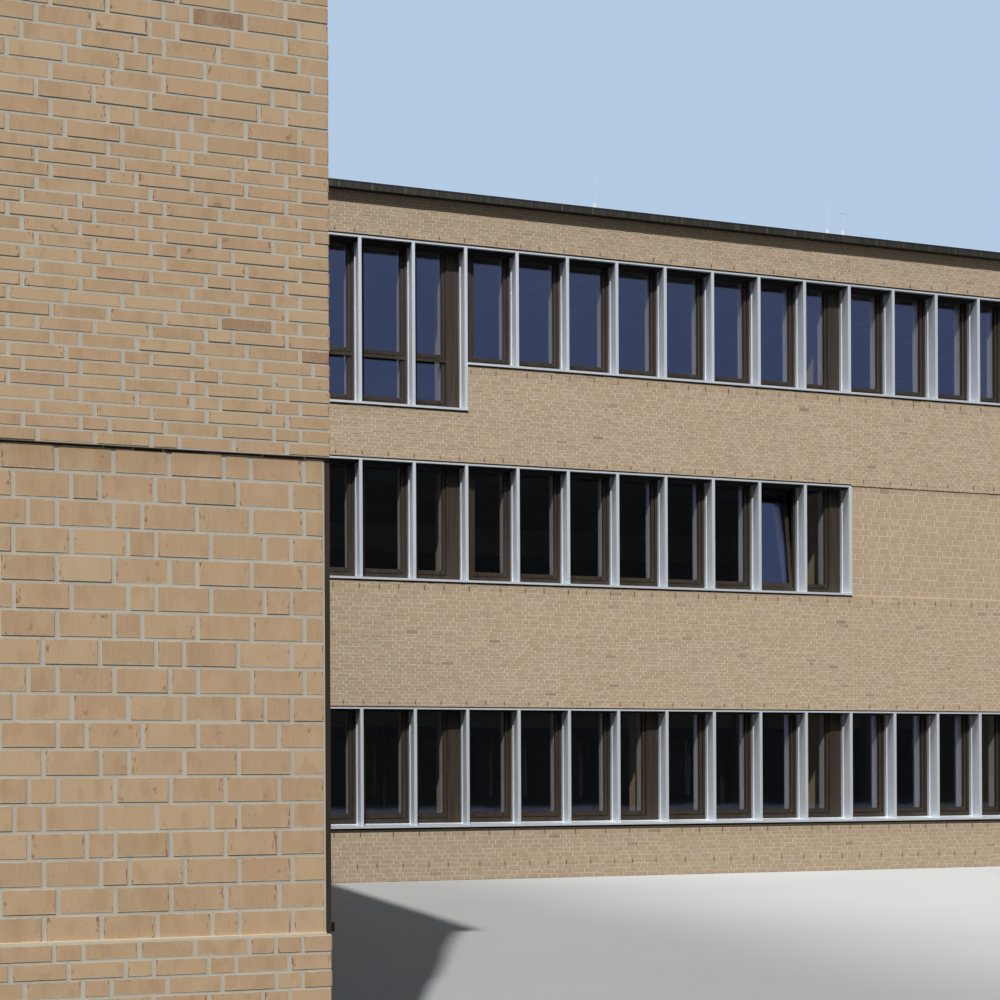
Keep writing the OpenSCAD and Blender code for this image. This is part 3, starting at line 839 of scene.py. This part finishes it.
def lay_side(side, seed):
    dice = random.Random(seed)
    bricks, joints = [], []
    storey = -1
    count = 0
    for low, high, course, is_band in rows(sides[side][4]):
        storey += is_band
        for step in range(round((high - low) / course)):
            level = low + step * course
            count += 1
            if is_band:
                spans, face = band_stretches(side, storey), recess
            else:
                spans, face = strip_stretches(side, level, course), 0.0
            lay_course(side, level, course, spans, face, count % 2 == 1, dice, bricks, joints)
    return bricks, joints


joints_by_side = {}
for number, side in enumerate(sides):
    bricks, joints_by_side[side] = lay_side(side, 40 + number)
    lay_copies("bricks_" + side, brick_model, bricks, brick, ragged=brick_ragged)

# %% [markdown]
# The wing stands a quarter of a metre higher than the main block, so a low strip of its side wall shows above the
# main roof.

# %% Bricks above the main roof
dice = random.Random(90)
bricks = []
for step in range(round(rise / thin)):
    lay_course("wing_right", main_top + step * thin, thin, [(wing_out, wing_long)], 0.0, step % 2, dice, bricks, [])
lay_copies("bricks_over_main_roof", brick_model, bricks, brick, ragged=brick_ragged)

# %% [markdown]
# Rain that gets behind the brick leaf leaves through open upright joints, in the second course over each head and
# under each sill, and in the fourth above the ground, on the sides that have windows. They show as short dark slots,
# a few decimetres apart. Each is a thin dark slip in a joint that the bond already has, and covers the mortar there.

# %% Weep slots
slot_model = drawn_in_cube("slot_model", (0.8, 1, 0.94))
weep_wide, weep_deep, weep_over = 0.017, 0.004, 0.006
weep_middle = -0.0008
weep_steps = (0.28, 0.34, 0.40)


def weep_levels(up):
    """Middles of the courses that have open joints."""
    levels = [3.5 * normal]
    for sill, head in zip(sills, heads):
        levels += [sill + up - 1.5 * normal, head + up + 1.5 * thin]
    return levels


dice = random.Random(7)
slots = []
for side in sorted({b["side"] for b in bands}):
    joints = joints_by_side[side]
    turn = (0.0, 0.0, math.radians(sides[side][2]))
    for level in weep_levels(sides[side][4]):
        near = sorted(j for j in joints if j[1] < level < j[1] + j[2] and j[3] == 0.0)
        last = -1.0
        for x, low, course, face in near:
            if x - last > dice.choice(weep_steps):
                last = x
                size = (weep_wide, weep_deep, course + weep_over)
                slots.append((on_side(side, x, weep_middle, low + course / 2), turn, size, dice.random()))
lay_copies("weep_slots", slot_model, slots, dark_joint_and_shadow)

# %% [markdown]
# The movement joint of the main front is filled with a pale elastic sealant, pressed in to just behind the face of
# the bricks. Its pieces are bars, and so are most of the small parts that follow.

# %% Movement joint
bar_model = drawn_in_cube("bar_model", (1, 1, 0.7))


def bar(side, x0, x1, y0, y1, z0, z1):
    """A straight bar between two corners, along x if it is wider than high, and upright otherwise."""
    yaw = math.radians(sides[side][2])
    middle = on_side(side, (x0 + x1) / 2, (y0 + y1) / 2, (z0 + z1) / 2)
    if x1 - x0 >= z1 - z0:
        return (middle, (0.0, 0.0, yaw), (x1 - x0, y1 - y0, z1 - z0), 0.5)
    return (middle, (0.0, math.pi / 2, yaw), (z1 - z0, y1 - y0, x1 - x0), 0.5)


left, right = movement_joint - movement_gap / 2, movement_joint + movement_gap / 2
fillings = [
    bar("main_front", left, right, front, back, low, high) for front, back, low, high in (
        (-0.002, 0.006, 0.0, sills[0]), (-0.003, 0.006, heads[0], sills[1]),
        (recess - 0.002, recess + 0.006, sills[1], heads[1]),
        (-0.003, 0.006, heads[1], sills[2]), (-0.002, 0.006, heads[2], main_top),
    )
]
lay_copies("movement_joint", bar_model, fillings, sealant)

# %% [markdown]
# At the foot of a set back row, the ledge is dressed with a pale slope of mortar, so that rain runs off.

# %% Mortar slopes
least_stretch = 0.3
slope_in, slope_high = 0.002, 0.009


def set_back_stretches():
    """Side, foot, head and both ends of each set back stretch of brick that is wide enough to show."""
    for side in sides:
        up = sides[side][4]
        for storey in range(3):
            for low, high in band_stretches(side, storey):
                if high - low > least_stretch:
                    yield side, sills[storey] + up, heads[storey] + up, low, high


slopes = [
    bar(side, low, high, 0.001, recess + slope_in, foot - slope_in, foot + slope_high)
    for side, foot, head, low, high in set_back_stretches()
]
lay_copies("mortar_slopes", bar_model, slopes, sealant, ragged=0.004)

# %% [markdown]
# Over the set back rows the brick stands on a steel angle. Its near-black edge is painted shadow: the shade that the
# overhanging brick throws on the row below, laid as a broken line with mortar here and there across it.

# %% Support angles and their painted shadow
dice = random.Random(23)
angle_lengths = (0.125, 0.19, 0.25, 0.38)
painted_shadow_high, mortar_between = (0.009, 0.016), (0.003, 0.016)
angle_shadow_bars = []
# Lengths of near-black painted shadow under the overhanging brick, with mortar between them.
for side, foot, head, low, high in set_back_stretches():
    x = low
    while x < high:
        end = min(x + dice.choice(angle_lengths), high)
        low_edge = head - dice.uniform(*painted_shadow_high)
        angle_shadow_bars.append(bar(side, x, end, recess - 0.0055, recess + 0.004, low_edge, head))
        x = end + dice.uniform(*mortar_between)
lay_copies("support_angles", bar_model, angle_shadow_bars, dark_joint_and_shadow)

# %% [markdown]
# Each window is a bronze sash in a fixed frame. A bead holds the glass in the sash, a black seal closes the gap
# between sash and frame, a weather bar throws rain off the bottom rail, and two small caps cover its drains.
# The frame has the sashes cut through, so these pieces are laid along the edges of the holes that it leaves.
# Inside, a white board beside each window of the main front catches the sun, and shows through the glass.

# %% Holes of the windows
fin, head_rail, liner = 0.06, 0.030, 0.015
frame_side, frame_foot, frame_top = 0.045, 0.085, 0.005
sash_side, sash_foot, sash_top = 0.070, 0.090, 0.010
side_edge = liner + frame_side + sash_side
foot_edge = frame_foot + sash_foot
top_edge = frame_top + sash_top
transom = 0.06
sash_front, glass_front = 0.372, 0.422


def window_holes(b):
    """Left, right, foot and top of each pane of a band."""
    holes = []
    for j in range(1, b["bays"] + 1):
        left = b["start"] + (j - 1) * bay + side_edge
        left += (fin + b["left_post"] if j == 1 else 0) + (strip if j == b["strip_bay"] else 0)
        right = b["start"] + j * bay - fin - side_edge
        right -= (b["right_post"] if j == b["bays"] else 0) + (panel if j in b["closed"] else 0)
        foot = b["sill"] + fin + liner + foot_edge
        top = b["head"] - head_rail - liner - top_edge
        if j != b["open_bay"]:
            holes.append((left, right, foot, top))
        if j <= b["low_bays"]:
            holes.append((left, right, tall_sill + fin + liner + foot_edge, foot - transom))
    return holes


print(sum(len(window_holes(b)) for b in bands), "panes, apart from the open one")


# %% Beads, seals, weather bars and drain caps
bead, seal = 0.010, 0.005
bead_depths = (glass_front - 0.014, glass_front)
board_depths = (glass_front + 0.031, glass_front + 0.215)
seal_depths = (sash_front - 0.003, sash_front + 0.002)
weather_depths = (sash_front - 0.016, sash_front)
cap_depths = (sash_front - 0.016 + 0.008, sash_front)
weather_out = 0.04
cap_in, cap_wide = 0.05, 0.040


def round_hole(side, left, right, foot, top, wide, depths, lap):
    """Bars along the foot and both sides of a hole. Those at the sides start over the foot one by the lap."""
    return [
        bar(side, left, right, *depths, foot, foot + wide),
        bar(side, left, left + wide, *depths, foot + lap, top),
        bar(side, right - wide, right, *depths, foot + lap, top),
    ]


beads, boards, seals, weather_bars, drain_caps = [], [], [], [], []
for b in bands:
    side = b["side"]
    for left, right, foot, top in window_holes(b):
        beads += round_hole(side, left, right, foot, top, bead, bead_depths, bead)
        if side == "main_front":
            boards.append(bar(side, right - 0.006, right + 0.016, *board_depths, foot - 0.05, top + 0.02))
        out = side_edge - liner - frame_side
        low, high = foot - foot_edge + frame_foot, top + top_edge - frame_top
        seals += round_hole(side, left - out, right + out, low, high, seal, seal_depths, 0.0)
        weather_ends = (left - weather_out, right + weather_out)
        weather_bars.append(bar(side, *weather_ends, *weather_depths, foot - 0.078, foot - 0.060))
        for x in (left + cap_in, right - cap_in):
            drain_caps.append(bar(side, x - cap_wide / 2, x + cap_wide / 2, *cap_depths, foot - 0.044, foot - 0.026))
lay_copies("glazing_beads", bar_model, beads, bronze)
lay_copies("white_boards", bar_model, boards, white)
lay_copies("sash_seals", bar_model, seals, rubber)
lay_copies("weather_bars", bar_model, weather_bars, bronze)
lay_copies("drain_caps", bar_model, drain_caps, edge_dark)

# %% [markdown]
# Over each window, between the fins, the deep soffit under the head lies in shade. A near-black slot and a dark
# bottom slat, shaped as the underside of an outside blind drawn up into its slot, stand there as painted shade.
# Behind each closed panel a cream wall runs into the room, and the sun reaches it through the glass.

# %% Painted shade under the heads, and cream walls
slot_depths, slat_depths = (0.060, sash_front - 0.032), (0.12, 0.20)
slat_in = 0.02
wall_wide, wall_depths = 0.18, (0.78, 1.40)
slots, walls = [], []
for b in bands:
    side = b["side"]
    for j in range(1, b["bays"] + 1):
        left = b["start"] + (j - 1) * bay + (fin if j == 1 else 0)
        right = b["start"] + j * bay - fin
        under = b["head"] - head_rail
        # Painted shade: a near-black slot under the head, and a dark slat below it.
        slots.append(bar(side, left, right, *slot_depths, under - 0.018, under + 0.004))
        slots.append(bar(side, left + slat_in, right - slat_in, *slat_depths, under - 0.030, under - 0.014))
        if side == "main_front" and j in b["closed"]:
            x = right - panel / 2
            wall_ends = (x - wall_wide / 2, x + wall_wide / 2)
            walls.append(bar(side, *wall_ends, *wall_depths, b["sill"] - 0.6, b["head"] + 0.02))
lay_copies("blind_slots", bar_model, slots, painted_shade_black)
lay_copies("cream_walls", bar_model, walls, cream)

# %% [markdown]
# Over every head a near-black bar fills the joint against the surround, a little taller with each storey: painted
# shade. Under every sill a near-black bar is the painted shadow of the sill's nose, tallest under the deep ground
# floor sills of the main block.

# %% Painted shade over the heads and painted shadow under the sills
shade_bar_depths = (-0.0062, 0.0)
deep_sill_shadow, sill_shadow, head_shade = 0.036, 0.024, 0.020


def has_deep_sills(b):
    """Whether a band is one of the ground floor of the main block, where the sills reach further out."""
    return b["sill"] < sills[1] and b["side"].startswith("main")


# Near-black bars: painted shade over each head, and painted shadow of the sill nose under each sill.
painted_shade_bars = []
for b in bands:
    side, start, end = b["side"], b["start"], b["start"] + b["bays"] * bay
    low_end = start + b["low_bays"] * bay
    high = deep_sill_shadow if has_deep_sills(b) else sill_shadow
    painted_shade_bars.append(bar(side, start, end, *shade_bar_depths, b["head"], b["head"] + head_shade + 0.0015 * b["head"]))
    painted_shade_bars.append(bar(side, low_end, end, *shade_bar_depths, b["sill"] - high, b["sill"]))
    if b["low_bays"]:
        painted_shade_bars.append(bar(side, start, low_end, *shade_bar_depths, tall_sill - high, tall_sill))
lay_copies("surround_gaps", bar_model, painted_shade_bars, painted_shade_black)

# %% [markdown]
# Where a window band ends at an outer corner, a bronze strip closes the end of its surround against the brick. On
# the wing's court side a cover strip stands in the corner beside the ground floor row, and shows as the dark edge
# of the wing's end wall.

# %% Corner closing strips
strips = []
for b in bands:
    for end, post in ((b["start"], b["left_post"]), (b["start"] + b["bays"] * bay, b["right_post"])):
        if not post:
            continue
        x0, x1 = (end - 0.007, end + 0.001) if end == b["start"] else (end - 0.001, end + 0.007)
        nose = 0.080 if has_deep_sills(b) else 0.040
        strips.append(bar(b["side"], x0, x1, -0.0095, 0.040, b["sill"], b["head"]))
        strips.append(bar(b["side"], x0, x1, -nose - 0.002, 0.0, b["sill"] + 0.001, b["sill"] + 0.046))
low, high = sills[0] + rise, heads[0] + rise
strips.append(bar("wing_right", recess + 0.001, recess + 0.012, -0.006, recess + 0.001, low, high))
print("corner cover strip from", low, "to", high)
lay_copies("corner_closing_strips", bar_model, strips, bronze)

# %% [markdown]
# The metal roof edge is hung on straps: they show as narrow clips on its face, and a dark folded hem runs along
# its top. Clips stand about every sixty centimetres, and close the joints of the metal lengths.

# %% Roof edge clips and hem
edge_out = 0.19
edge_high = 0.12
edge_drip = 0.018
clip_step, clip_wide = 0.615, 0.022
hem_high = 0.030
roof_edges = {
    "main_front": (0.0, main_long + edge_out), "main_back": (-edge_out, main_long),
    "main_right": (-edge_out, main_deep + edge_out), "wing_end": (-edge_out, wing_wide + edge_out),
    "wing_back": (-edge_out, wing_wide + edge_out), "wing_right": (-edge_out, wing_long + edge_out),
    "wing_left": (-edge_out, wing_long + edge_out),
}
clips, hems = [], []
for side, (start, end) in roof_edges.items():
    top = main_top + sides[side][4] + edge_high
    hems.append(bar(side, start, end, -edge_out - 0.004, -edge_out + 0.004, top - hem_high, top + 0.002))
    count = round((end - start) / clip_step)
    for number in range(count):
        x = start + (number + 0.5) * (end - start) / count
        x0, x1 = x - clip_wide / 2, x + clip_wide / 2
        y0, y1 = -edge_out - 0.003, -edge_out + 0.004
        clips.append(bar(side, x0, x1, y0, y1, top - edge_high - edge_drip, top - hem_high))
lay_copies("roof_edge_clips", bar_model, clips, clip_metal)
lay_copies("roof_edge_hems", bar_model, hems, edge_dark)

# %% [markdown]
# The lightning rods are thin, and a pale plastic holder clasps each a little over the roof edge.

# %% Rod holders
rod_places = (9.73 * bay, 14.77 * bay, 15.12 * bay)
holder_depths, holder_low, holder_high = (0.465, 0.495), main_top + 0.33, main_top + 0.45
holders = [bar("main_front", x - 0.045, x + 0.012, *holder_depths, holder_low, holder_high) for x in rod_places]
lay_copies("rod_holders", bar_model, holders, white)

# %% [markdown]
# The membrane comes in rolls a metre and a half wide, welded where they overlap. The overlaps are thin raised
# strips across the roofs.

# %% Roof seams
roll, lap = 1.5, 0.05
seam_high, seam_short = 0.006, 0.7
seams = []
for node, along, across in (("main_roof", 0, 1), ("wing_roof", 1, 0)):
    low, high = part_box(node)
    turn = (math.pi / 2, 0, math.pi / 2 * across)
    size = (high[across] - low[across] - seam_short, seam_high, lap)
    for number in range(1, int((high[along] - low[along]) / roll) + 1):
        middle = [(low.x + high.x) / 2, (low.y + high.y) / 2, high.z]
        middle[along] = low[along] + number * roll
        seams.append((middle, turn, size, 0.5))
lay_copies("roof_seams", bar_model, seams, membrane)

# %% Clear away the models
for model in (brick_model, slot_model, bar_model):
    bpy.data.objects.remove(model)
print("models cleared away")

# %% [markdown]
# The floor of the studio is pale and even, and keeps the shadow of the building. What light it throws back on the
# walls is that of a darker ground. The card is a dull grey green cloth.

# %% Studio floor and dark card
floor_finish = Finish("pale_floor", roughness=0.9)
dust = floor_finish.noise((0.2, 0.2, 0.2), detail=2)
pale = floor_finish.ramp(dust, [(0.3, colour(186, 188, 188)), (0.7, colour(192, 194, 194))])
seen_by_camera = floor_finish.nodes.new("ShaderNodeLightPath").outputs["Is Camera Ray"]
floor.data.materials.append(floor_finish.show(floor_finish.mix(seen_by_camera, colour(92, 91, 88), pale)))

card_finish = Finish("dark_cloth", roughness=1.0)
card_weave = card_finish.noise(scale=60)
card.data.materials.append(card_finish.show(
    card_finish.ramp(card_weave, [(0.3, colour(88, 92, 72)), (0.7, colour(108, 110, 92))])
))
